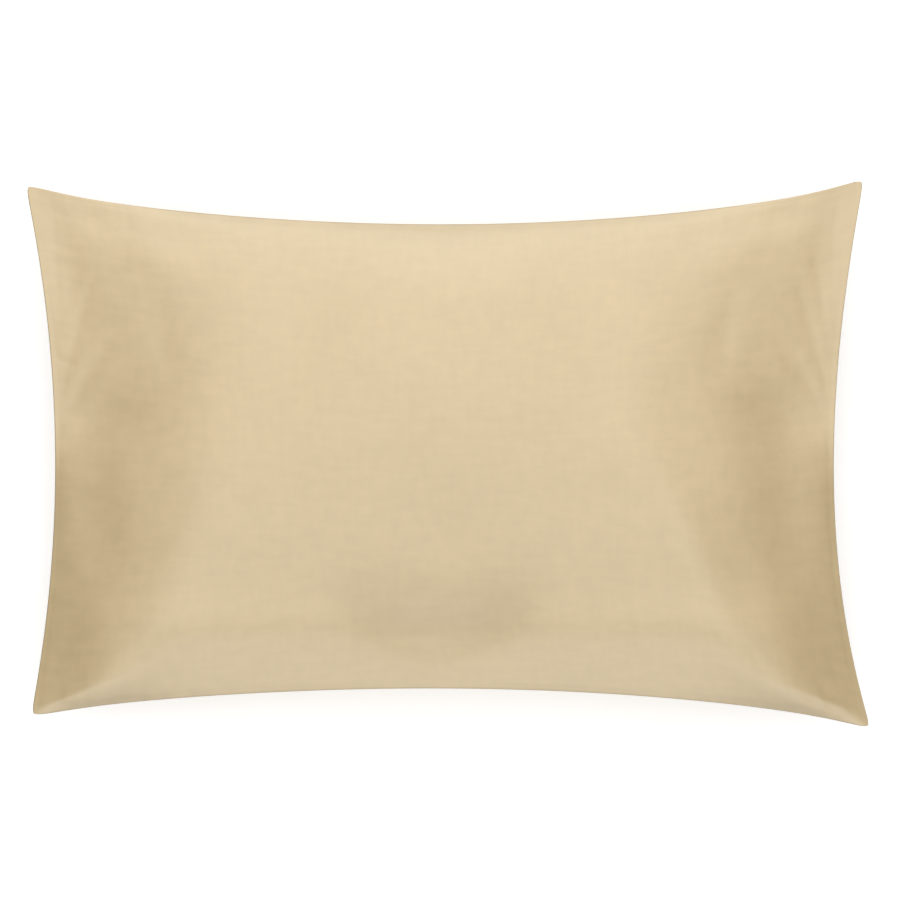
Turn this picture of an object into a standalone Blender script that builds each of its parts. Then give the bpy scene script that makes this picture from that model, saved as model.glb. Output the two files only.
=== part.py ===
"""A pillowcase filled by its pillow, lying on its back.

One closed body: a crowned front, drawn-in sides, four soft pointed corners and a back that is flat
where it rests. Metres, +Z up. +X runs along the case's length and +Y across it, and the origin lies on
the surface below, under the middle of the outline.
"""

from collections import namedtuple
from math import cos, exp, pi, radians, sin, tanh

import bmesh
import bpy
from mathutils import Vector

# The case as it is sewn, flat and empty.
CASE_LENGTH = 0.750
CASE_WIDTH = 0.500

# What the filling takes up of it, from corner to corner.
LENGTH_TAKEN_UP = 0.017
WIDTH_TAKEN_UP = 0.025
HALF_LENGTH = (CASE_LENGTH - LENGTH_TAKEN_UP) / 2
HALF_WIDTH = (CASE_WIDTH - WIDTH_TAKEN_UP) / 2

# How high the filled case stands in the middle.
FILLED_HEIGHT = 0.185

# Each corner: how far it strays from an even rectangle, and its height above the surface.
Corner = namedtuple("Corner", "stray_x stray_y height")
TOP_LEFT = Corner(-0.0007, -0.0007, 0.050)
TOP_RIGHT = Corner(-0.0023, 0.0038, 0.055)
BOTTOM_LEFT = Corner(0.0035, 0.0072, 0.043)
BOTTOM_RIGHT = Corner(0.0045, -0.0033, 0.047)

# Each seamed edge, read left to right or bottom to top: how deep the filling draws it in, how much more
# it is drawn in all along but for its ears at the corners, how far the deepest point is shifted, and
# its rise in the middle.
Edge = namedtuple("Edge", "draw_in ear skew rise")
TOP = Edge(0.0327, 0.0073, -0.032, 0.035)
BOTTOM = Edge(0.0272, 0.0055, -0.059, 0.033)
LEFT = Edge(0.0258, 0.0, 0.002, 0.022)
RIGHT = Edge(0.0318, 0.0, 0.093, 0.024)
EAR_SHARPNESS = 10

# A turned-out corner is blunt: how far its tip stays behind, and how little of the edge that takes.
CORNER_BLUNT = 0.0035
CORNER_TIGHTNESS = 45

# How a panel swells from its seams: flatness keeps the middle level, steepness under 1 makes it stand
# up from the seam and over 1 lets it start as a thin lip. The front's two ends stand up full from the
# bottom edge to the middle, turn into a lip over the shares of the width below, and stay one from there.
Swell = namedtuple("Swell", "flatness steepness")
FRONT_ALONG_TOP = Swell(3.1, 1.9)
FRONT_ALONG_BOTTOM = Swell(13.0, 1.15)
LIP_FROM = -0.05
LIP_TO = 0.42
FRONT_ACROSS = Swell(2.3, 0.66)
BACK_ALONG = Swell(2.2, 1.15)
BACK_ACROSS = Swell(2.1, 0.60)
FOLDS_ALONG = Swell(36.0, 1.0)  # folds die out at the seams
FOLDS_ACROSS = Swell(24.0, 1.0)

# How much of the back's length and width lies flat, and how near the surface its cloth lies down on it.
REST_ALONG = 0.58
REST_ACROSS = 0.52
LIES_DOWN = 0.002

# Soft troughs (height below 0) and ridges of the front: middle, half length, half width, the turn of
# the length from +X, and height.
Fold = namedtuple("Fold", "x y along across turn height")
BOTTOM_CORNER_FOLDS = (
    Fold(-0.292, -0.190, 0.056, 0.021, 34, 0.0150),
    Fold(0.294, -0.193, 0.056, 0.021, 145, 0.0156),
    Fold(-0.344, -0.182, 0.050, 0.018, 62, -0.0078),
    Fold(0.347, -0.190, 0.050, 0.018, 118, -0.0092),
    Fold(-0.222, -0.146, 0.076, 0.026, 8, 0.0062),
    Fold(0.226, -0.150, 0.074, 0.026, 172, 0.0062),
    Fold(-0.226, -0.092, 0.060, 0.028, 66, 0.0052),
    Fold(0.210, -0.080, 0.080, 0.026, 114, 0.0084),
)
END_FOLDS = (
    Fold(-0.300, -0.056, 0.070, 0.028, 97, -0.0102),
    Fold(0.298, -0.070, 0.075, 0.030, 96, -0.0108),
    Fold(-0.264, -0.030, 0.070, 0.036, 97, -0.0040),
    Fold(0.276, -0.032, 0.070, 0.044, 93, -0.0052),
    Fold(-0.297, 0.034, 0.026, 0.035, 95, -0.0044),
    Fold(-0.336, -0.118, 0.040, 0.022, 90, -0.0034),
    Fold(0.339, -0.130, 0.048, 0.022, 90, -0.0040),
    Fold(0.295, 0.034, 0.026, 0.040, 81, -0.0054),
)
TOP_CORNER_FOLDS = (
    Fold(-0.342, 0.180, 0.070, 0.015, 111, -0.0056),
    Fold(0.336, 0.178, 0.070, 0.013, 76, -0.0052),
)
MIDDLE_FOLDS = (
    Fold(-0.122, 0.120, 0.070, 0.044, 74, -0.0078),
    Fold(0.120, 0.120, 0.066, 0.044, 106, -0.0062),
    Fold(0.002, 0.146, 0.054, 0.036, 0, 0.0046),
    Fold(-0.110, -0.050, 0.056, 0.036, 60, -0.0024),
    Fold(0.108, -0.060, 0.054, 0.036, 120, -0.0022),
    Fold(0.014, -0.020, 0.080, 0.040, 90, 0.0026),
    Fold(-0.205, 0.024, 0.070, 0.040, 90, 0.0026),
    Fold(0.160, 0.018, 0.064, 0.034, 90, 0.0036),
    Fold(-0.190, -0.203, 0.084, 0.016, 5, -0.0088),
    Fold(0.192, -0.205, 0.084, 0.016, 174, -0.0088),
    Fold(-0.186, -0.152, 0.055, 0.022, 4, 0.0026),
    Fold(0.182, -0.150, 0.060, 0.022, 176, 0.0030),
    Fold(-0.010, -0.143, 0.056, 0.029, 1, -0.0190),
    Fold(-0.008, -0.189, 0.096, 0.030, 0, -0.0130),
    Fold(-0.005, -0.075, 0.060, 0.062, 0, -0.0105),
    Fold(-0.114, -0.148, 0.076, 0.017, 3, 0.0034),
    Fold(0.116, -0.150, 0.074, 0.018, 174, 0.0036),
)
FOLDS = BOTTOM_CORNER_FOLDS + END_FOLDS + TOP_CORNER_FOLDS + MIDDLE_FOLDS

# The share of the filling's thickness that no trough goes beyond.
DEEPEST_FOLD = 0.6

# The cloth is divided into cells that are closer together near the seams.
CELLS_ALONG = 60
CELLS_ACROSS = 40
CLOSER_AT_SEAMS = 0.62
WELD = 1e-5

CHAMPAGNE = (0.61, 0.46, 0.25, 1.0)
SATIN_ROUGHNESS = 0.42

UP = Vector((0, 0, 1))


def corner_point(corner, side_x, side_y):
    """A corner's sharp tip, on the side of the middle that side_x and side_y (-1 or 1) give."""
    x = side_x * HALF_LENGTH + corner.stray_x
    y = side_y * HALF_WIDTH + corner.stray_y
    return Vector((x, y, corner.height))


TIPS = {
    (-1, 1): corner_point(TOP_LEFT, -1, 1),
    (1, 1): corner_point(TOP_RIGHT, 1, 1),
    (-1, -1): corner_point(BOTTOM_LEFT, -1, -1),
    (1, -1): corner_point(BOTTOM_RIGHT, 1, -1),
}


def seam_point(edge, start, end, inward, t):
    """A point on a seamed edge, for t from -1 at its start to 1 at its end."""
    s = t + edge.skew * (1 - t * t)
    bow = 1 - s * s
    drawn_in = edge.draw_in * bow + edge.ear * (1 - abs(s) ** EAR_SHARPNESS)
    return start.lerp(end, (t + 1) / 2) + inward * drawn_in + UP * edge.rise * bow


def seam_sheet(u, v):
    """The smooth sheet that the four seams span, for u and v from -1 to 1 over the case."""
    tip = TIPS
    top = seam_point(TOP, tip[-1, 1], tip[1, 1], Vector((0, -1, 0)), u)
    bottom = seam_point(BOTTOM, tip[-1, -1], tip[1, -1], Vector((0, 1, 0)), u)
    left = seam_point(LEFT, tip[-1, -1], tip[-1, 1], Vector((1, 0, 0)), v)
    right = seam_point(RIGHT, tip[1, -1], tip[1, 1], Vector((-1, 0, 0)), v)
    high = tip[-1, 1].lerp(tip[1, 1], (u + 1) / 2)
    low = tip[-1, -1].lerp(tip[1, -1], (u + 1) / 2)
    share_up = (v + 1) / 2
    spanned = bottom.lerp(top, share_up) + left.lerp(right, (u + 1) / 2) - low.lerp(high, share_up)
    blunt = CORNER_BLUNT * abs(u * v) ** CORNER_TIGHTNESS
    spanned.x -= blunt * u
    spanned.y -= blunt * v
    return spanned


def swelling(u, v, along, across):
    """How far a panel is filled out: 0 at the seams, 1 in the middle."""
    over_length = max(0.0, 1 - abs(u) ** along.flatness) ** along.steepness
    over_width = max(0.0, 1 - abs(v) ** across.flatness) ** across.steepness
    return over_length * over_width


def smooth_step(share, start, end):
    """0 up to start, 1 from end on, and a smooth way up between them."""
    s = min(1.0, max(0.0, (share - start) / (end - start)))
    return s * s * (3 - 2 * s)


def front_along(v):
    """The front's swell along the case at v: a full end at the bottom edge, a thin lip at the top."""
    top = FRONT_ALONG_TOP
    bottom = FRONT_ALONG_BOTTOM
    flatness = top.flatness + (bottom.flatness - top.flatness) * ((1 - v) / 2) ** 3
    lip = smooth_step(v, LIP_FROM, LIP_TO)
    return Swell(flatness, bottom.steepness + (top.steepness - bottom.steepness) * lip)


def fold_height(fold, x, y):
    """How much one fold adds at a place: a soft mound, longer one way than the other."""
    turn = radians(fold.turn)
    lengthwise = (x - fold.x) * cos(turn) + (y - fold.y) * sin(turn)
    crosswise = (y - fold.y) * cos(turn) - (x - fold.x) * sin(turn)
    return fold.height * exp(-((lengthwise / fold.along) ** 2) - (crosswise / fold.across) ** 2)


FRONT_CROWN = FILLED_HEIGHT - seam_sheet(0, 0).z


def beyond(share, flat_share):
    """How far a place lies past the flat middle: 0 up to there, 1 at the seam."""
    return max(0.0, abs(share) - flat_share) / (1 - flat_share)


def back_point(u, v):
    """The back panel: flat where the filling presses it down, and rounded up from there to the seams."""
    point = seam_sheet(u, v)
    along = beyond(u, REST_ALONG)
    across = beyond(v, REST_ACROSS)
    point.z *= 1 - swelling(along, across, BACK_ALONG, BACK_ACROSS)
    if point.z < LIES_DOWN:
        point.z = 0.0
    return point


def front_point(u, v):
    """The front panel: the seams' sheet, raised by the filling and creased by the folds."""
    point = seam_sheet(u, v)
    filled = FRONT_CROWN * swelling(u, v, front_along(v), FRONT_ACROSS)
    folds = sum(fold_height(fold, point.x, point.y) for fold in FOLDS)
    folds *= swelling(u, v, FOLDS_ALONG, FOLDS_ACROSS)
    if folds < 0:
        room = DEEPEST_FOLD * (filled + point.z - back_point(u, v).z) + WELD
        folds = room * tanh(folds / room)
    point.z += filled + folds
    return point


def closer_at_seams(share):
    """Moves an even division of -1 to 1 outwards, so that the cells are small at both ends."""
    return share * (1 - CLOSER_AT_SEAMS) + sin(share * pi / 2) * CLOSER_AT_SEAMS


def add_panel(mesh, place, facing_down):
    """Adds one panel of cloth cells to the mesh, each point where place(u, v) puts it."""
    made = bmesh.ops.create_grid(mesh, x_segments=CELLS_ALONG, y_segments=CELLS_ACROSS, size=1.0)
    cells = {face for vert in made["verts"] for face in vert.link_faces}
    for vert in made["verts"]:
        vert.co = place(closer_at_seams(vert.co.x), closer_at_seams(vert.co.y))
    if facing_down:
        bmesh.ops.reverse_faces(mesh, faces=list(cells))


def split_cells(mesh):
    """Splits each cell into two triangles along the diagonal that leaves it fuller."""
    mesh.normal_update()
    for cell in list(mesh.faces):
        a, b, c, d = cell.verts
        fuller = (a.co + c.co - b.co - d.co).dot(cell.normal) > 0
        ends = (a, c) if fuller else (b, d)
        bmesh.utils.face_split(cell, *ends)


def middle_of_outline(mesh):
    """The middle of the outline, seen from above."""
    xs = [vert.co.x for vert in mesh.verts]
    ys = [vert.co.y for vert in mesh.verts]
    return Vector(((min(xs) + max(xs)) / 2, (min(ys) + max(ys)) / 2, 0))


def make_satin():
    """The champagne satin of both panels."""
    satin = bpy.data.materials.new("satin")
    satin.use_nodes = True
    shader = satin.node_tree.nodes["Principled BSDF"]
    shader.inputs["Base Color"].default_value = CHAMPAGNE
    shader.inputs["Roughness"].default_value = SATIN_ROUGHNESS
    shader.inputs["Metallic"].default_value = 0.0
    return satin


def make_pillowcase():
    """Both panels, seamed all round, as one object that rests over the origin."""
    body = bmesh.new()
    add_panel(body, front_point, facing_down=False)
    add_panel(body, back_point, facing_down=True)
    open_edges = [vert for vert in body.verts if vert.is_boundary]
    bmesh.ops.remove_doubles(body, verts=open_edges, dist=WELD)
    bmesh.ops.translate(body, verts=body.verts, vec=-middle_of_outline(body))
    split_cells(body)
    mesh = bpy.data.meshes.new("pillowcase")
    body.to_mesh(mesh)
    body.free()
    mesh.shade_smooth()
    mesh.materials.append(make_satin())
    pillowcase = bpy.data.objects.new("pillowcase", mesh)
    bpy.context.scene.collection.objects.link(pillowcase)


for leftover in list(bpy.data.objects):
    bpy.data.objects.remove(leftover)
make_pillowcase()
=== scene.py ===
from math import pi, radians

import bpy
import numpy as np
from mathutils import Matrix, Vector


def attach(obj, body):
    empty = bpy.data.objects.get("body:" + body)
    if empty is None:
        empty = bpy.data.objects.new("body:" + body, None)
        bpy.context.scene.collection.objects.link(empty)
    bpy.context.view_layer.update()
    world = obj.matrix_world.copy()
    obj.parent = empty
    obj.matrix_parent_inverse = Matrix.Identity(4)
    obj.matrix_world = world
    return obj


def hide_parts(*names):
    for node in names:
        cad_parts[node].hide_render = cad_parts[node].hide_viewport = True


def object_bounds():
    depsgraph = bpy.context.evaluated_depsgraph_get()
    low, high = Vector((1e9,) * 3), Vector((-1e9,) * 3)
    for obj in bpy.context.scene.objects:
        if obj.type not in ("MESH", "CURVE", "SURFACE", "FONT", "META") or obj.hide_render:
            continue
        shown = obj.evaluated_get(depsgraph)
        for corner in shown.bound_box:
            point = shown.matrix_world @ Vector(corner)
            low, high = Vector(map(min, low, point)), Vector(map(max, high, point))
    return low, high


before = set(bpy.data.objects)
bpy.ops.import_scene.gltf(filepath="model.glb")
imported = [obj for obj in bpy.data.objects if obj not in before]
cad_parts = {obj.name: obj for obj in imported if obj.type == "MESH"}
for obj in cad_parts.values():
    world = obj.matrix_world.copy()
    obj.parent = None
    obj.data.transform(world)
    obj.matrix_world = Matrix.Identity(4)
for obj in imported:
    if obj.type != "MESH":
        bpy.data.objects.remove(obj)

cadLow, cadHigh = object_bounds()
print("frame loaded, box", [round(side, 4) for side in cadHigh - cadLow])

tiny = 1e-9                     # keeps a division from being by nothing

# The case: its sewn size, and the outline and swell that its filling gives it. Lengths are in metres,
# shares go from 0 to 1, and places u along the case and v across it from -1 to 1
case = dict(
    flatLength=0.750,
    flatWidth=0.500,
    lengthTakenUp=0.017,        # what the filling takes of it, from tip to tip
    widthTakenUp=0.025,
    earSharpness=10,            # how close to a corner its ear starts
    cornerBlunt=0.0035,         # how far a turned-out tip stays behind
    cornerTightness=45,
    frontAlongTop=(3.1, 1.9),   # swell: flatness of the middle, steepness at the seam
    frontAlongBottom=(13.0, 0.96),
    lipFrom=-0.16,              # the ends turn from full to a thin lip over this part of the width
    lipTo=0.34,
    frontAcross=(2.3, 0.66),
    deepestFold=0.6,            # share of the filling's thickness that no trough goes beyond
    foldsFade=(36, 24),         # how late folds die out, towards the end seams and the long ones
    backAlong=(2.2, 1.15),
    backAcross=(2.1, 0.60),
    restAlong=0.58,             # share of the back that lies flat
    restAcross=0.52,
    liftedFrom=0.004,           # height above the floor from which the back wrinkles fully
    cellsAlong=264,
    cellsAcross=176,
    closerAtSeams=0.62,
    clothGap=0.01,              # between the two panels where their cloth is laid out for the weave
)

# Each corner: its side of the middle, how far it strays from an even rectangle, and its height
corners = dict(
    topLeft=dict(side=(-1, 1), stray=(-0.0007, -0.0007), height=0.050),
    topRight=dict(side=(1, 1), stray=(-0.0023, 0.0038), height=0.055),
    bottomLeft=dict(side=(-1, -1), stray=(0.0035, 0.0072), height=0.043),
    bottomRight=dict(side=(1, -1), stray=(0.0045, -0.0033), height=0.047),
)

# Each seamed edge: how deep it is drawn in, its ears, the shift of its deepest point, and its rise
edges = dict(
    top=dict(drawIn=0.0327, ear=0.0073, skew=-0.032, rise=0.035, inward=(0, -1, 0)),
    bottom=dict(drawIn=0.0272, ear=0.0055, skew=-0.059, rise=0.033, inward=(0, 1, 0)),
    left=dict(drawIn=0.0258, ear=0.0, skew=0.002, rise=0.022, inward=(1, 0, 0)),
    right=dict(drawIn=0.0318, ear=0.0, skew=0.093, rise=0.024, inward=(-1, 0, 0)),
)

# Soft troughs (height below 0) and ridges of the front, listed one by one:
# middle x, y, half length, half width, turn of the length from +X in degrees, height
folds = [
    # bottom corners: a ridge from the tip up the filling, the shoulder over it, and the full end beside
    # them, which is hollow towards the seam
    (-0.312, -0.213, 0.072, 0.019, 35, 0.0112),
    (0.313, -0.217, 0.073, 0.019, 146, 0.0116),
    (-0.274, -0.181, 0.078, 0.036, 41, 0.0105),
    (0.276, -0.184, 0.078, 0.036, 139, 0.0108),
    (-0.293, -0.150, 0.084, 0.031, 91, 0.0036),
    (0.295, -0.153, 0.084, 0.031, 89, 0.0038),
    (-0.347, -0.176, 0.086, 0.032, 55, -0.0056),
    (0.348, -0.180, 0.086, 0.032, 125, -0.0058),
    (-0.336, -0.109, 0.060, 0.038, 94, -0.0056),
    (0.337, -0.114, 0.060, 0.038, 86, -0.0058),
    (-0.270, -0.214, 0.043, 0.036, 12, 0.0050),
    (0.272, -0.216, 0.043, 0.036, 168, 0.0052),
    (-0.222, -0.146, 0.076, 0.026, 8, 0.0062),
    (0.226, -0.150, 0.074, 0.026, 172, 0.0062),
    (-0.226, -0.092, 0.060, 0.028, 66, 0.0052),
    (0.210, -0.080, 0.080, 0.026, 114, 0.0084),
    # pinched creases that run out into the bottom corners' tips
    (-0.334, -0.2145, 0.026, 0.0034, 17, 0.0015),
    (-0.318, -0.2065, 0.030, 0.0036, 22, 0.0013),
    (-0.326, -0.2170, 0.024, 0.0030, 12, -0.0012),
    (0.342, -0.2200, 0.026, 0.0034, 156, 0.0015),
    (0.322, -0.2100, 0.030, 0.0036, 160, 0.0013),
    (0.332, -0.2195, 0.024, 0.0030, 160, -0.0012),
    # a low roll inside the bottom seam, either side of the dimple
    (-0.215, -0.2035, 0.070, 0.0100, 7, 0.0022),
    (0.220, -0.2055, 0.070, 0.0100, 173, 0.0020),
    # ends: long hollows below the middle, short ones inside the lip above it
    (-0.300, -0.056, 0.070, 0.028, 97, -0.0102),
    (0.298, -0.070, 0.075, 0.030, 96, -0.0108),
    (-0.264, -0.030, 0.070, 0.036, 97, -0.0040),
    (0.276, -0.032, 0.070, 0.044, 93, -0.0052),
    (-0.297, 0.034, 0.026, 0.035, 95, -0.0044),
    (0.295, 0.034, 0.026, 0.040, 81, -0.0054),
    # top corners: hollows along the ends, thin folds across them
    (-0.340, 0.180, 0.066, 0.020, 109, -0.0044),
    (0.337, 0.180, 0.066, 0.020, 75, -0.0044),
    (-0.300, 0.204, 0.034, 0.016, 166, -0.0036),
    (0.292, 0.208, 0.034, 0.016, 12, -0.0040),
    (-0.252, 0.172, 0.036, 0.018, 150, 0.0026),
    (0.248, 0.174, 0.036, 0.018, 32, 0.0024),
    (-0.216, 0.206, 0.030, 0.013, 172, 0.0034),
    (0.216, 0.208, 0.030, 0.013, 8, 0.0036),
    (-0.243, 0.102, 0.036, 0.012, 103, -0.0013),
    (0.240, 0.106, 0.036, 0.012, 76, -0.0016),
    # middle: a low crown between two soft hollows, the hollow that leads down to the dimple, and the
    # hollows and rolls beside it
    (-0.122, 0.120, 0.070, 0.044, 74, -0.0078),
    (0.120, 0.120, 0.066, 0.044, 106, -0.0062),
    (0.002, 0.146, 0.054, 0.036, 0, 0.0046),
    (-0.110, -0.050, 0.056, 0.036, 60, -0.0024),
    (0.108, -0.060, 0.054, 0.036, 120, -0.0022),
    (0.014, -0.020, 0.080, 0.040, 90, 0.0026),
    (-0.205, 0.024, 0.070, 0.040, 90, 0.0026),
    (0.160, 0.018, 0.064, 0.034, 90, 0.0036),
    (-0.190, -0.203, 0.084, 0.016, 5, -0.0058),
    (0.192, -0.205, 0.084, 0.016, 174, -0.0062),
    (-0.186, -0.152, 0.055, 0.022, 4, 0.0026),
    (0.182, -0.150, 0.060, 0.022, 176, 0.0030),
    (-0.008, -0.146, 0.056, 0.026, 1, -0.0100),
    (-0.008, -0.189, 0.096, 0.030, 0, -0.0090),
    (-0.005, -0.075, 0.060, 0.062, 0, -0.0105),
    (-0.114, -0.148, 0.076, 0.017, 3, 0.0034),
    (0.116, -0.150, 0.074, 0.018, 174, 0.0036),
]

# The dimple above the bottom seam: a crescent that hangs from its two ends, sharper below than above,
# with shade painted into the cloth's colour over it
dimple = dict(
    middle=(-0.0066, -0.150),
    halfLength=0.085,
    bend=3.6,                   # how fast its ends rise: metres for each square metre
    above=0.037,
    below=0.018,
    depth=0.0080,
    shade=0.10,                 # painted shade: the colour is made this much darker at the dimple's deepest
)

# How the plain swell is blown up as cloth, to find the folds that fan out from the seams
blowUp = dict(
    pressure=4,
    frames=20,
    quality=5,
    farthest=0.005,             # no point goes farther
    broad=60,                   # passes of evening out: what is left of the moves then is left out
    fullFrom=0.014,             # distance from front to back from which the moves are kept in full
)

# Puckers that run in from the seams, and the shallow groove beside the stitching
puckers = dict(
    seed=7,
    height=0.0005,
    reach=0.011,
    spacing=(0.010, 0.046),     # from the closest to the widest wave along a seam
    waves=9,
    groups=(0.07, 0.20),        # spacing of the stretches where they are strong or hardly there
    groupWaves=4,
    strength=(0.5, 0.6),        # its mean along a seam, and how far it goes up and down from there
    weakest=0.08,
    slant=0.25,                 # the most that they lean, in metres along for each metre in
    groove=0.0006,
    grooveWidth=0.0035,
    fade=60,                    # how late they die out right at the rim
    fullFrom=0.006,             # distance from front to back from which they are full
)


def cornerTip(corner):
    # a corner of the even rectangle, plus the corner's own stray and height
    length = case["flatLength"] - case["lengthTakenUp"]
    width = case["flatWidth"] - case["widthTakenUp"]
    x, y = np.array([length, width]) / 2 * corner["side"] + corner["stray"]
    return np.array([x, y, corner["height"]])


def seamLine(edge, start, end, t):
    # straight from start to end as t goes from -1 to 1, drawn in and lifted by a parabola whose
    # deepest point is shifted by skew, plus the depth that only the ears give up
    s = t + edge["skew"] * (1 - t**2)
    bow = 1 - s**2
    drawnIn = edge["drawIn"] * bow + edge["ear"] * (1 - np.abs(s) ** case["earSharpness"])
    line = start + (end - start) * (t[..., None] + 1) / 2
    line = line + np.array(edge["inward"]) * drawnIn[..., None]
    line[..., 2] += edge["rise"] * bow
    return line


def seamSheet(u, v):
    # the sheet that the four seams span: the blend of the two long seams plus the blend of the two
    # short ones, less the plain blend of the corners; each corner is then blunted at its very tip
    tip = {name: cornerTip(corner) for name, corner in corners.items()}
    up, right = (v[..., None] + 1) / 2, (u[..., None] + 1) / 2
    top = seamLine(edges["top"], tip["topLeft"], tip["topRight"], u)
    bottom = seamLine(edges["bottom"], tip["bottomLeft"], tip["bottomRight"], u)
    leftSide = seamLine(edges["left"], tip["bottomLeft"], tip["topLeft"], v)
    rightSide = seamLine(edges["right"], tip["bottomRight"], tip["topRight"], v)
    low = tip["bottomLeft"] * (1 - right) + tip["bottomRight"] * right
    high = tip["topLeft"] * (1 - right) + tip["topRight"] * right
    sheet = bottom * (1 - up) + top * up + leftSide * (1 - right) + rightSide * right
    sheet = sheet - low * (1 - up) - high * up
    blunt = case["cornerBlunt"] * np.abs(u * v) ** case["cornerTightness"]
    sheet[..., 0] -= blunt * u
    sheet[..., 1] -= blunt * v
    return sheet


def swell(share, flatness, steepness):
    # 1 in the middle and 0 at the seam: one less the share to the flatness, to the steepness
    return np.maximum(0, 1 - np.abs(share) ** flatness) ** steepness


def foldRelief(x, y):
    # the sum of soft mounds: a bell curve along each fold's length times one across it
    relief = np.zeros_like(x)
    for foldX, foldY, along, across, turn, height in folds:
        c, s = np.cos(radians(turn)), np.sin(radians(turn))
        lengthwise = (x - foldX) * c + (y - foldY) * s
        crosswise = (y - foldY) * c - (x - foldX) * s
        relief += height * np.exp(-((lengthwise / along) ** 2) - (crosswise / across) ** 2)
    return relief


def dimpleShape(x, y):
    # 1 at the dimple's deepest: a flat-topped bell along it, times a plain bell across the parabola
    # that it follows
    along = x - dimple["middle"][0]
    across = y - dimple["middle"][1] - dimple["bend"] * along**2
    across = across / np.where(across > 0, dimple["above"], dimple["below"])
    return np.exp(-((along / dimple["halfLength"]) ** 4) - across**2)


def swellAlongFront(u, v):
    # the swell along the case: from top to bottom the flatness grows with the cube of the way down,
    # and the steepness goes from a thin lip's to a full end's by a smooth step (3 s^2 - 2 s^3)
    (flatTop, steepTop), (flatBottom, steepBottom) = case["frontAlongTop"], case["frontAlongBottom"]
    flatness = flatTop + (flatBottom - flatTop) * ((1 - v) / 2) ** 3
    s = np.clip((v - case["lipFrom"]) / (case["lipTo"] - case["lipFrom"]), 0, 1)
    return swell(u, flatness, steepBottom + (steepTop - steepBottom) * (3 - 2 * s) * s**2)


def backPanel(u, v):
    # the seams' sheet brought down to the surface: fully in the middle, and rounded up from there
    panel = seamSheet(u, v)
    along = np.maximum(0, np.abs(u) - case["restAlong"]) / (1 - case["restAlong"])
    across = np.maximum(0, np.abs(v) - case["restAcross"]) / (1 - case["restAcross"])
    panel[..., 2] *= 1 - swell(along, *case["backAlong"]) * swell(across, *case["backAcross"])
    return panel


def frontPanel(u, v):
    # the seams' sheet, raised by the swell along and across
    panel = seamSheet(u, v)
    middle = np.zeros(1)
    crown = (cadHigh.z - cadLow.z) - seamSheet(middle, middle)[0, 2]
    panel[..., 2] += crown * swellAlongFront(u, v) * swell(v, *case["frontAcross"])
    return panel


def foldFront(front, back, atSeams):
    # raises the front by its folds and sinks the dimple; a trough levels off, by a hyperbolic tangent,
    # towards its share of the thickness down to the back
    x, y = front[..., 0], front[..., 1]
    relief = (foldRelief(x, y) - dimple["depth"] * dimpleShape(x, y)) * atSeams
    room = case["deepestFold"] * (front[..., 2] - back[..., 2]) + tiny
    front[..., 2] += np.where(relief < 0, room * np.tanh(relief / room), relief)


def cellLines(count):
    # an even division of -1 to 1, mixed with a sine of it, so that cells are small at the seams
    even = np.linspace(-1, 1, count + 1)
    return even * (1 - case["closerAtSeams"]) + np.sin(even * pi / 2) * case["closerAtSeams"]


def outward(panel):
    # a panel's unit normals, from the cross product of its two grid directions
    across = np.cross(np.gradient(panel, axis=0), np.gradient(panel, axis=1))
    return across / np.maximum(np.linalg.norm(across, axis=2, keepdims=True), tiny)


def uneven(rng, along, spacing, waves):
    # an uneven wave: the mean of sines with lengths between the two spacings and random phases,
    # scaled to a root mean square of a half
    lengths = rng.uniform(*spacing, waves)
    phases = rng.uniform(0, 2 * pi, waves)
    return np.sin(along[..., None] * 2 * pi / lengths + phases).mean(-1) * np.sqrt(2 * waves) / 2


def seamPuckers(rng, u, v):
    # along each seam an uneven wave, which peaks at its reach and dies out beyond it, and in from
    # the stitching a narrow groove; both start from nothing at the seam itself
    mean, change = puckers["strength"]
    relief = np.zeros_like(u)
    x, y = u * case["flatLength"] / 2, v * case["flatWidth"] / 2
    sides = [
        (x, case["flatWidth"] / 2 - y),
        (x, case["flatWidth"] / 2 + y),
        (y, case["flatLength"] / 2 - x),
        (y, case["flatLength"] / 2 + x),
    ]
    for along, inFrom in sides:
        slant = rng.uniform(-puckers["slant"], puckers["slant"])
        wave = uneven(rng, along + slant * inFrom, puckers["spacing"], puckers["waves"])
        strength = mean + change * uneven(rng, along, puckers["groups"], puckers["groupWaves"])
        wave = wave * np.clip(strength, puckers["weakest"], 1)
        reached = inFrom / puckers["reach"]
        relief += puckers["height"] * wave * reached * np.exp(1 - reached)
        inGroove = inFrom / puckers["grooveWidth"]
        relief -= puckers["groove"] * inGroove**2 * np.exp(1 - inGroove**2)
    return relief * swell(u, puckers["fade"], 1) * swell(v, puckers["fade"], 1)


def closedBody(front, back):
    # one closed body: the front's grid, and the back's inner points joined to the front's rim
    rows, columns = front.shape[:2]
    onFront = np.arange(rows * columns).reshape(rows, columns)
    inner = np.arange((rows - 2) * (columns - 2)).reshape(rows - 2, columns - 2)
    onBack = onFront.copy()
    onBack[1:-1, 1:-1] = rows * columns + inner
    points = np.concatenate([front.reshape(-1, 3), back[1:-1, 1:-1].reshape(-1, 3)])
    return points, onFront, onBack


def quads(index, facingDown):
    # the four corners of every cell of a grid of point numbers, in the order that faces up or down
    corner = [index[:-1, :-1], index[1:, :-1], index[1:, 1:], index[:-1, 1:]]
    return np.stack(corner[::-1] if facingDown else corner, -1).reshape(-1, 4)


def evenedOut(grid, passes):
    # each point becomes half itself and a quarter of each neighbour, along one axis and then the other
    for _ in range(passes):
        for axis in (0, 1):
            wide = np.moveaxis(grid, axis, 0)
            wide = np.concatenate([wide[:1], wide, wide[-1:]])
            grid = np.moveaxis((wide[:-2] + 2 * wide[1:-1] + wide[2:]) / 4, 0, axis)
    return grid


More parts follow.
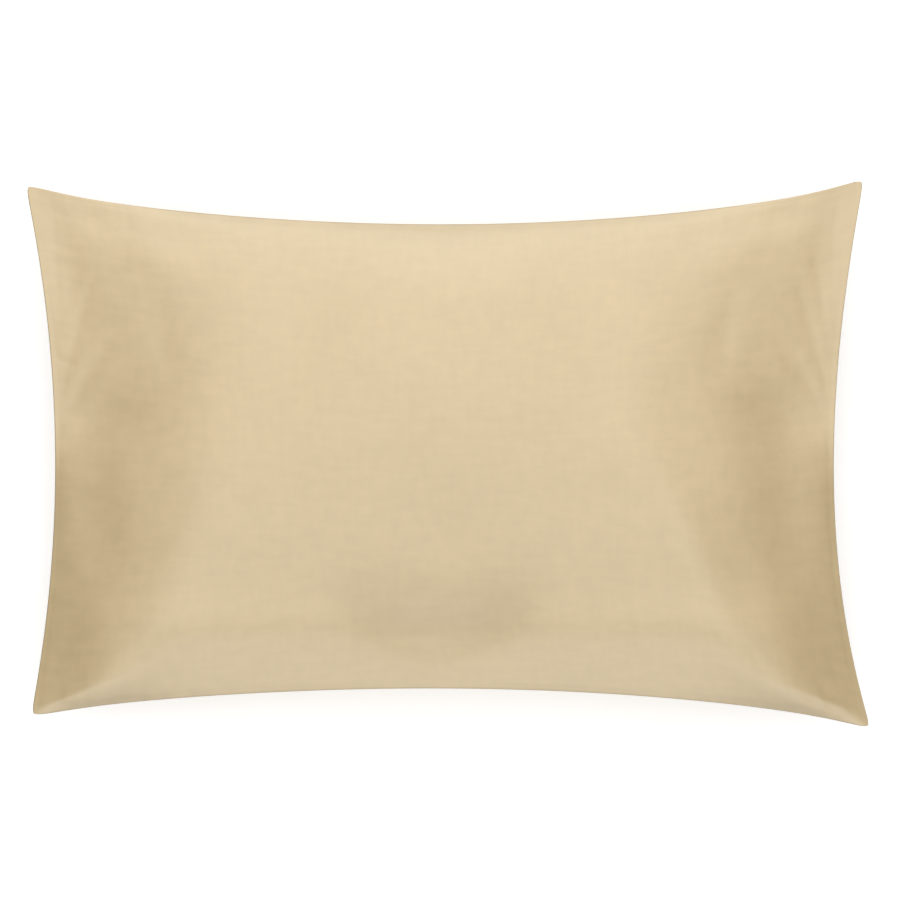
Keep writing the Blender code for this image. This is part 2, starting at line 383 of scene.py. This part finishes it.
def doubled(grid, axis):
    # adds a line halfway between each two: nine sixteenths of both, less a sixteenth of the next two
    grid = np.moveaxis(grid, axis, 0)
    wide = np.concatenate([2 * grid[:1] - grid[1:2], grid, 2 * grid[-1:] - grid[-2:-1]])
    fine = np.empty((2 * len(grid) - 1, *grid.shape[1:]))
    fine[::2], fine[1::2] = grid, (9 * (wide[1:-2] + wide[2:-1]) - wide[:-3] - wide[3:]) / 16
    return np.moveaxis(fine, 0, axis)


def clothMoves(front, back):
    # a closed copy of every second grid line, held at its seams, is blown up as cloth; its points'
    # moves, levelled off towards the farthest and less the same evened out, are carried to all points
    points, onFront, onBack = closedBody(front[::2, ::2], back[::2, ::2])
    mesh = bpy.data.meshes.new("clothTrial")
    mesh.from_pydata(points, [], np.concatenate([quads(onFront, False), quads(onBack, True)]))
    trial = bpy.data.objects.new("clothTrial", mesh)
    bpy.context.scene.collection.objects.link(trial)
    rim = np.unique(np.concatenate([onFront[[0, -1]].ravel(), onFront[:, [0, -1]].ravel()]))
    trial.vertex_groups.new(name="seams").add(rim.tolist(), 1, "REPLACE")
    cloth = trial.modifiers.new("Cloth", "CLOTH").settings
    cloth.quality = blowUp["quality"]
    cloth.use_pressure = True
    cloth.uniform_pressure_force = blowUp["pressure"]
    cloth.effector_weights.gravity = 0
    cloth.vertex_group_mass = "seams"
    for moment in range(1, blowUp["frames"] + 1):
        bpy.context.scene.frame_set(moment)
    moves = np.empty(points.size)
    blown = trial.evaluated_get(bpy.context.evaluated_depsgraph_get())
    blown.data.vertices.foreach_get("co", moves)
    moves = moves.reshape(-1, 3) - points
    length = np.maximum(np.linalg.norm(moves, axis=1, keepdims=True), tiny)
    print("cloth blown up, its points moved up to", round(float(length.max()), 4), "m")
    moves *= blowUp["farthest"] * np.tanh(length / blowUp["farthest"]) / length
    bpy.data.objects.remove(trial)
    bpy.data.meshes.remove(mesh)
    bpy.context.scene.frame_set(1)
    fine = (moves[index] - evenedOut(moves[index], blowUp["broad"]) for index in (onFront, onBack))
    return [doubled(doubled(part, 0), 1) for part in fine]


def thickEnough(front, back, fullFrom):
    # 0 where the panels meet, and 1 from where they are far enough apart, which keeps what is added
    # to them from crossing
    return np.clip((front - back)[..., 2:] / fullFrom, 0, 1)


def wovenPanels():
    # both panels on one grid: the swell, its cloth's folds and those listed, and the puckers
    # along each panel's own normals; nothing is added at the rim, or where the back lies flat
    u, v = np.meshgrid(cellLines(case["cellsAlong"]), cellLines(case["cellsAcross"]), indexing="ij")
    rng = np.random.default_rng(puckers["seed"])
    front, back = frontPanel(u, v), backPanel(u, v)
    lifted = np.clip(back[..., 2:] / case["liftedFrom"], 0, 1)
    fadeAlong, fadeAcross = case["foldsFade"]
    atSeams = swell(u, fadeAlong, 1) * swell(v, fadeAcross, 1)
    frontMoves, backMoves = clothMoves(front, back)
    free = atSeams[..., None] * thickEnough(front, back, blowUp["fullFrom"])
    front, back = front + frontMoves * free, back + backMoves * free * lifted
    foldFront(front, back, atSeams)
    free = thickEnough(front, back, puckers["fullFrom"])
    front = front + outward(front) * seamPuckers(rng, u, v)[..., None] * free
    back = back - outward(back) * seamPuckers(rng, u, v)[..., None] * free * lifted
    back[..., 2] = np.maximum(back[..., 2], 0)
    back[[0, -1]], back[:, [0, -1]] = front[[0, -1]], front[:, [0, -1]]
    middle = np.array([(cadLow.x + cadHigh.x) / 2, (cadLow.y + cadHigh.y) / 2])
    for panel in (front, back):
        panel[..., :2] += middle - (front[..., :2].min((0, 1)) + front[..., :2].max((0, 1))) / 2
    return u, v, front, back


def buildCase(material):
    u, v, front, back = wovenPanels()
    points, onFront, onBack = closedBody(front, back)
    faces = np.concatenate([quads(onFront, False), quads(onBack, True)])
    # painted shade: how far into the dimple each point of the front lies, for darkening its colour
    # there
    paintedDimpleShade = np.zeros(len(points))
    paintedDimpleShade[:u.size] = dimpleShape(front[..., 0], front[..., 1]).ravel()
    # both panels' own metres, the back's beside the front's, for the weave
    cloth = np.stack([(u + 1) * case["flatLength"] / 2, (v + 1) * case["flatWidth"] / 2], -1)
    cloth = cloth.reshape(-1, 2)
    frontCloth = cloth[quads(onFront, False)].reshape(-1, 2)
    backCloth = cloth[quads(onFront, True)].reshape(-1, 2) + [0, case["flatWidth"] + case["clothGap"]]
    cloth = np.concatenate([frontCloth, backCloth])

    mesh = bpy.data.meshes.new("pillowcase_satin")
    mesh.from_pydata(points, [], faces)
    mesh.uv_layers.new(name="cloth").data.foreach_set("uv", cloth.ravel())
    mesh.attributes.new("paintedDimpleShade", "FLOAT", "POINT").data.foreach_set("value", paintedDimpleShade)
    mesh.shade_smooth()
    mesh.materials.append(material)
    piece = bpy.data.objects.new("pillowcase_satin", mesh)
    bpy.context.scene.collection.objects.link(piece)
    print("case sewn:", len(points), "points,", len(faces) * 2, "triangles")
    return piece


# The satin: colours are linear, and thread sizes are metres of cloth (along the case, across it)
satin = dict(
    light=(0.632, 0.482, 0.257, 1),
    shade=(0.588, 0.446, 0.234, 1),
    weft=dict(size=(0.026, 0.0084), weight=0.44),      # soft slubs along the case
    warp=dict(size=(0.0090, 0.022), weight=0.38),      # and across it
    floats=dict(size=(0.012, 0.0009), weight=0.08),    # the satin's fine floats
    clouds=dict(size=(0.080, 0.060), weight=0.30),
    noiseDetail=2,
    noiseRoughness=0.5,
    gathered=(0.36, 0.64),      # the part of the mixed noise that spreads over shade to light
    roughness=(0.40, 0.45),
    ior=2.1,
    anisotropy=0.5,
    glossTurn=0.25,             # in turns from along the case: the gloss is drawn out across it
    sheen=0.2,
    sheenRoughness=0.35,
    relief=0.00012,             # height of the floats, and how much of it the surface shows
    reliefStrength=0.3,
)


def addNode(tree, kind, **settings):
    # a name that starts with an underscore is a socket of the node, and any other a setting of it
    node = tree.nodes.new(kind)
    for name, value in settings.items():
        if name[0] == "_":
            node.inputs[name[1:].replace("_", " ")].default_value = value
        else:
            setattr(node, name, value)
    return node


def mathNode(tree, operation, *values, clamp=False):
    # the values are plain numbers or other nodes' outputs
    node = addNode(tree, "ShaderNodeMath", operation=operation, use_clamp=clamp)
    for socket, value in zip(node.inputs, values):
        if isinstance(value, (int, float)):
            socket.default_value = value
        else:
            tree.links.new(value, socket)
    return node.outputs[0]


def threadNoise(tree, cloth, size):
    # noise on the cloth's own metres, drawn out along and across it
    along, across = size
    stretch = addNode(tree, "ShaderNodeMapping", _Scale=(1 / along, 1 / across, 1))
    noise = addNode(tree, "ShaderNodeTexNoise", noise_dimensions="2D", _Scale=1)
    noise.inputs["Detail"].default_value = satin["noiseDetail"]
    noise.inputs["Roughness"].default_value = satin["noiseRoughness"]
    tree.links.new(cloth.outputs["UV"], stretch.inputs["Vector"])
    tree.links.new(stretch.outputs["Vector"], noise.inputs["Vector"])
    return noise.outputs["Fac"]


def makeSatin():
    material = bpy.data.materials.new("champagneSatin")
    material.use_nodes = True
    tree = material.node_tree
    link = tree.links.new
    shader = tree.nodes["Principled BSDF"]
    cloth = addNode(tree, "ShaderNodeUVMap", uv_map="cloth")
    layers = [satin[name] for name in ("weft", "warp", "floats", "clouds")]
    whole = sum(layer["weight"] for layer in layers)
    mixed = 0
    for layer in layers:
        noise = threadNoise(tree, cloth, layer["size"])
        mixed = mathNode(tree, "MULTIPLY_ADD", noise, layer["weight"] / whole, mixed)
    low, high = satin["gathered"]
    spread = addNode(tree, "ShaderNodeMapRange", _From_Min=low, _From_Max=high)
    link(mixed, spread.inputs["Value"])
    colour = addNode(tree, "ShaderNodeMix", data_type="RGBA")
    colour.inputs[6].default_value = satin["shade"]
    colour.inputs[7].default_value = satin["light"]
    link(spread.outputs["Result"], colour.inputs["Factor"])
    # painted shade: the base colour is darkened in the dimple, by up to the dimple's shade
    paintedDimpleShade = addNode(tree, "ShaderNodeAttribute", attribute_name="paintedDimpleShade")
    paintedShadeFactor = addNode(tree, "ShaderNodeMapRange", _To_Min=1, _To_Max=1 - dimple["shade"])
    link(paintedDimpleShade.outputs["Fac"], paintedShadeFactor.inputs["Value"])
    shaded = addNode(tree, "ShaderNodeVectorMath", operation="SCALE")
    link(colour.outputs[2], shaded.inputs[0])
    link(paintedShadeFactor.outputs["Result"], shaded.inputs["Scale"])
    link(shaded.outputs[0], shader.inputs["Base Color"])
    smoothest, roughest = satin["roughness"]
    gloss = addNode(tree, "ShaderNodeMapRange", _To_Min=smoothest, _To_Max=roughest)
    link(spread.outputs["Result"], gloss.inputs["Value"])
    link(gloss.outputs["Result"], shader.inputs["Roughness"])
    bump = addNode(tree, "ShaderNodeBump", _Strength=satin["reliefStrength"], _Distance=satin["relief"])
    link(threadNoise(tree, cloth, satin["floats"]["size"]), bump.inputs["Height"])
    link(bump.outputs["Normal"], shader.inputs["Normal"])
    lie = addNode(tree, "ShaderNodeTangent", direction_type="UV_MAP", uv_map="cloth")
    link(lie.outputs["Tangent"], shader.inputs["Tangent"])
    shader.inputs["IOR"].default_value = satin["ior"]
    shader.inputs["Anisotropic"].default_value = satin["anisotropy"]
    shader.inputs["Anisotropic Rotation"].default_value = satin["glossTurn"]
    shader.inputs["Sheen Weight"].default_value = satin["sheen"]
    shader.inputs["Sheen Roughness"].default_value = satin["sheenRoughness"]
    print("satin made of", len(layers), "layers of thread")
    return material


pillowcase = buildCase(makeSatin())
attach(pillowcase, "root")
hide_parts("pillowcase")


# Floor, light and camera
white = (1, 1, 1, 1)

floor = dict(
    size=30,
    below=0.0003,
    colour=(0.95, 0.95, 0.95, 1),
    roughness=0.9,
    gloss=0.1,
    glow=0.30,
)

# A soft studio dome: how bright it is by height, from straight below (0) over level (0.5) to
# straight above (1), towards the far long side, the near long side and the two ends
dome = dict(
    heights=(0.0, 0.215, 0.37, 0.5, 0.63, 0.75, 0.855, 0.935, 1.0),
    far=(0.00, 0.95, 1.82, 1.78, 1.55, 1.40, 1.43, 1.40, 1.20),
    near=(0.00, 0.60, 1.95, 1.35, 0.54, 0.80, 1.29, 1.37, 1.20),
    ends=(0.00, 0.00, 0.00, 0.09, 0.43, 0.72, 0.92, 1.09, 1.20),
    backdrop=1.0,               # what a camera sees past the floor
    poleGuard=1e-6,             # keeps the shares in bounds straight above and below
)


def layFloor():
    half = floor["size"] / 2
    z = cadLow.z - floor["below"]
    outline = [(-half, -half, z), (half, -half, z), (half, half, z), (-half, half, z)]
    mesh = bpy.data.meshes.new("floor")
    mesh.from_pydata(outline, [], [(0, 1, 2, 3)])
    material = bpy.data.materials.new("paleFloor")
    material.use_nodes = True
    shader = material.node_tree.nodes["Principled BSDF"]
    shader.inputs["Base Color"].default_value = floor["colour"]
    shader.inputs["Roughness"].default_value = floor["roughness"]
    shader.inputs["Specular IOR Level"].default_value = floor["gloss"]
    shader.inputs["Emission Color"].default_value = white
    shader.inputs["Emission Strength"].default_value = floor["glow"]
    mesh.materials.append(material)
    plane = bpy.data.objects.new("floor", mesh)
    # the case was lit apart from its white ground, so the floor neither lights it nor shades it
    plane.visible_diffuse = plane.visible_glossy = plane.visible_shadow = False
    bpy.context.scene.collection.objects.link(plane)


def hangDome():
    # brightness = far ramp x far share + near ramp x near share + ends ramp x the rest, where a share
    # is the squared part of the level direction that points to the far side (+Y) or the near one (-Y)
    studio = bpy.data.worlds.new("studioDome")
    studio.use_nodes = True
    tree = studio.node_tree
    link = tree.links.new
    direction = addNode(tree, "ShaderNodeTexCoord")
    parts = addNode(tree, "ShaderNodeSeparateXYZ")
    link(direction.outputs["Generated"], parts.inputs["Vector"])
    x, y, z = parts.outputs
    level = mathNode(tree, "ADD", mathNode(tree, "MULTIPLY", x, x), mathNode(tree, "MULTIPLY", y, y))
    level = mathNode(tree, "ADD", level, dome["poleGuard"])
    farther = mathNode(tree, "MULTIPLY", y, mathNode(tree, "ABSOLUTE", y))
    farther = mathNode(tree, "DIVIDE", farther, level)
    far = mathNode(tree, "MULTIPLY", farther, 1, clamp=True)
    near = mathNode(tree, "MULTIPLY", farther, -1, clamp=True)
    ends = mathNode(tree, "SUBTRACT", mathNode(tree, "SUBTRACT", 1, far), near)
    height = mathNode(tree, "ADD", mathNode(tree, "MULTIPLY", z, 0.5), 0.5)
    total = 0
    for name, share in (("far", far), ("near", near), ("ends", ends)):
        ramp = addNode(tree, "ShaderNodeValToRGB")
        stops = ramp.color_ramp.elements
        while len(stops) < len(dome["heights"]):
            stops.new(0.5)
        for stop, position, brightness in zip(stops, dome["heights"], dome[name]):
            stop.position = position
            stop.color = (brightness, brightness, brightness, 1)
        link(height, ramp.inputs["Fac"])
        lit = mathNode(tree, "MULTIPLY", share, ramp.outputs["Color"])
        total = mathNode(tree, "ADD", total, lit)
    ray = addNode(tree, "ShaderNodeLightPath")
    seen = addNode(tree, "ShaderNodeMix", data_type="FLOAT")
    seen.inputs["B"].default_value = dome["backdrop"]
    link(ray.outputs["Is Camera Ray"], seen.inputs["Factor"])
    link(total, seen.inputs["A"])
    background = tree.nodes["Background"]
    background.inputs["Color"].default_value = white
    link(seen.outputs["Result"], background.inputs["Strength"])
    bpy.context.scene.world = studio


camera = dict(
    lens=200,
    sensor=36,
    seen=0.78240,              # what the picture's width takes in, at the height below
    height=0.065,
    middle=(0.0021, 0.0036),   # the point under the picture's middle
    farthest=100,
)


def placeCamera():
    data = bpy.data.cameras.new("photoCamera")
    data.lens = camera["lens"]
    data.sensor_width = camera["sensor"]
    eye = bpy.data.objects.new("photoCamera", data)
    away = camera["seen"] * camera["lens"] / camera["sensor"]
    eye.location = (*camera["middle"], camera["height"] + away)
    data.clip_end = camera["farthest"]
    bpy.context.scene.collection.objects.link(eye)
    bpy.context.scene.camera = eye


layFloor()
hangDome()
placeCamera()
bpy.context.scene.view_settings.view_transform = "Standard"
print("floor, lights and camera placed")
